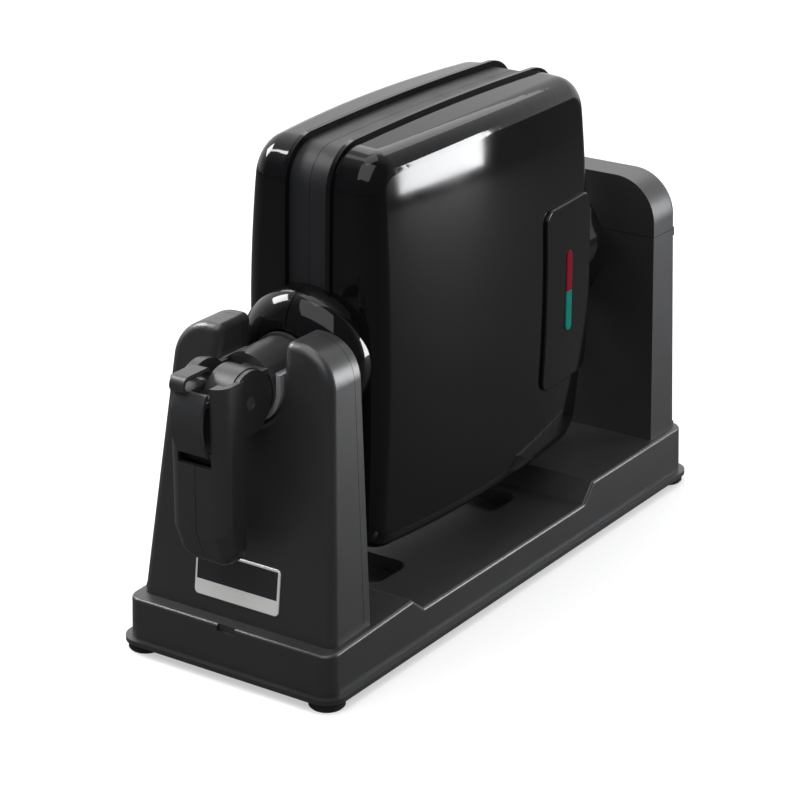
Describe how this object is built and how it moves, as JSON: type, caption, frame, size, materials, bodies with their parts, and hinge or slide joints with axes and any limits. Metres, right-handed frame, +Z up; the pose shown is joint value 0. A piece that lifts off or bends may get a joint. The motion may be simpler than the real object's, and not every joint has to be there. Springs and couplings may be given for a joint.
{
  "type": "rotating waffle maker",
  "caption": "Upright waffle maker in a two-column stand: the cooker turns about a level pivot, its lid opens on a floating hinge and its handle folds.",
  "frame": {"origin": "centre of the bounding box in plan, at the plane of the rubber feet", "axes": "+Z up, +Y from the handle end to the rear column, +X to the side with the lamps"},
  "size_m": [0.161, 0.457, 0.311],
  "materials": {
    "stand_black": "satin charcoal black moulding",
    "shell_black": "high gloss black shell",
    "band_grey": "matt dark grey band",
    "handle_black": "satin charcoal black moulding",
    "bare_label": "bare two-tone plate",
    "coated_plate": "dark non-stick coating on cast aluminium",
    "bright_steel": "plain steel",
    "pan_steel": "bright pressed sheet",
    "heater_steel": "dull steel tube",
    "grey_bearing": "grey bearing plastic",
    "foot_rubber": "matt rubber",
    "lamp_red": "red translucent lens",
    "lamp_green": "teal green translucent lens",
    "board": "circuit board"
  },
  "bodies": {
    "stand": {"base_tray": "stand_black", "base_plate": "stand_black", "rubber_feet": "foot_rubber", "base_screws": "bright_steel", "front_column_shell": "stand_black", "front_column_cover": "stand_black", "cover_screws": "bright_steel", "saddle_liner": "grey_bearing", "name_plate": "bare_label", "rear_column_body": "stand_black", "rear_column_cap": "stand_black", "cord_gland": "stand_black", "shaft_bush": "grey_bearing"},
    "cooker": {"right_shell": "shell_black", "right_rim": "band_grey", "right_waffle_plate": "coated_plate", "right_heating_element": "heater_steel", "right_reflector": "pan_steel", "control_housing": "shell_black", "red_lens": "lamp_red", "green_lens": "lamp_green", "lamp_board": "board", "thermostat": "bright_steel", "right_front_boss": "shell_black", "handle_neck": "handle_black", "fold_pin": "bright_steel", "rear_boss": "shell_black", "pivot_shaft": "bright_steel", "retaining_ring": "bright_steel", "hinge_bracket": "bright_steel"},
    "hinge_float": {"hinge_pins": "bright_steel"},
    "lid": {"left_shell": "shell_black", "left_rim": "band_grey", "left_waffle_plate": "coated_plate", "left_heating_element": "heater_steel", "left_reflector": "pan_steel", "left_front_boss": "shell_black", "lid_hinge_leaf": "bright_steel"},
    "handle": {"handle_right_half": "handle_black", "handle_left_half": "handle_black", "handle_screws": "bright_steel", "latch_pin": "bright_steel", "latch_spring": "bright_steel"},
    "latch": {"latch_lever": "handle_black"}
  },
  "joints": [
    {"name": "cooker_spin", "type": "hinge", "parent": "stand", "child": "cooker", "pos_m": [0, 0.0135, 0.18], "axis": [0, 1, 0], "range_deg": [-90, 90]},
    {"name": "lid_float", "type": "slide", "parent": "cooker", "child": "hinge_float", "axis": [-1, 0, 0], "range_m": [0, 0.004]},
    {"name": "lid_hinge", "type": "hinge", "parent": "hinge_float", "child": "lid", "pos_m": [-0.026, 0.1505, 0.18], "axis": [0, 0, -1], "range_deg": [0, 90]},
    {"name": "handle_fold", "type": "hinge", "parent": "cooker", "child": "handle", "pos_m": [0, -0.1925, 0.18], "axis": [-1, 0, 0], "range_deg": [0, 90]},
    {"name": "latch_lift", "type": "hinge", "parent": "handle", "child": "latch", "pos_m": [0, -0.216, 0.186], "axis": [-1, 0, 0], "range_deg": [0, 12], "stiffness_Nm_per_rad": 0.05}
  ]
}
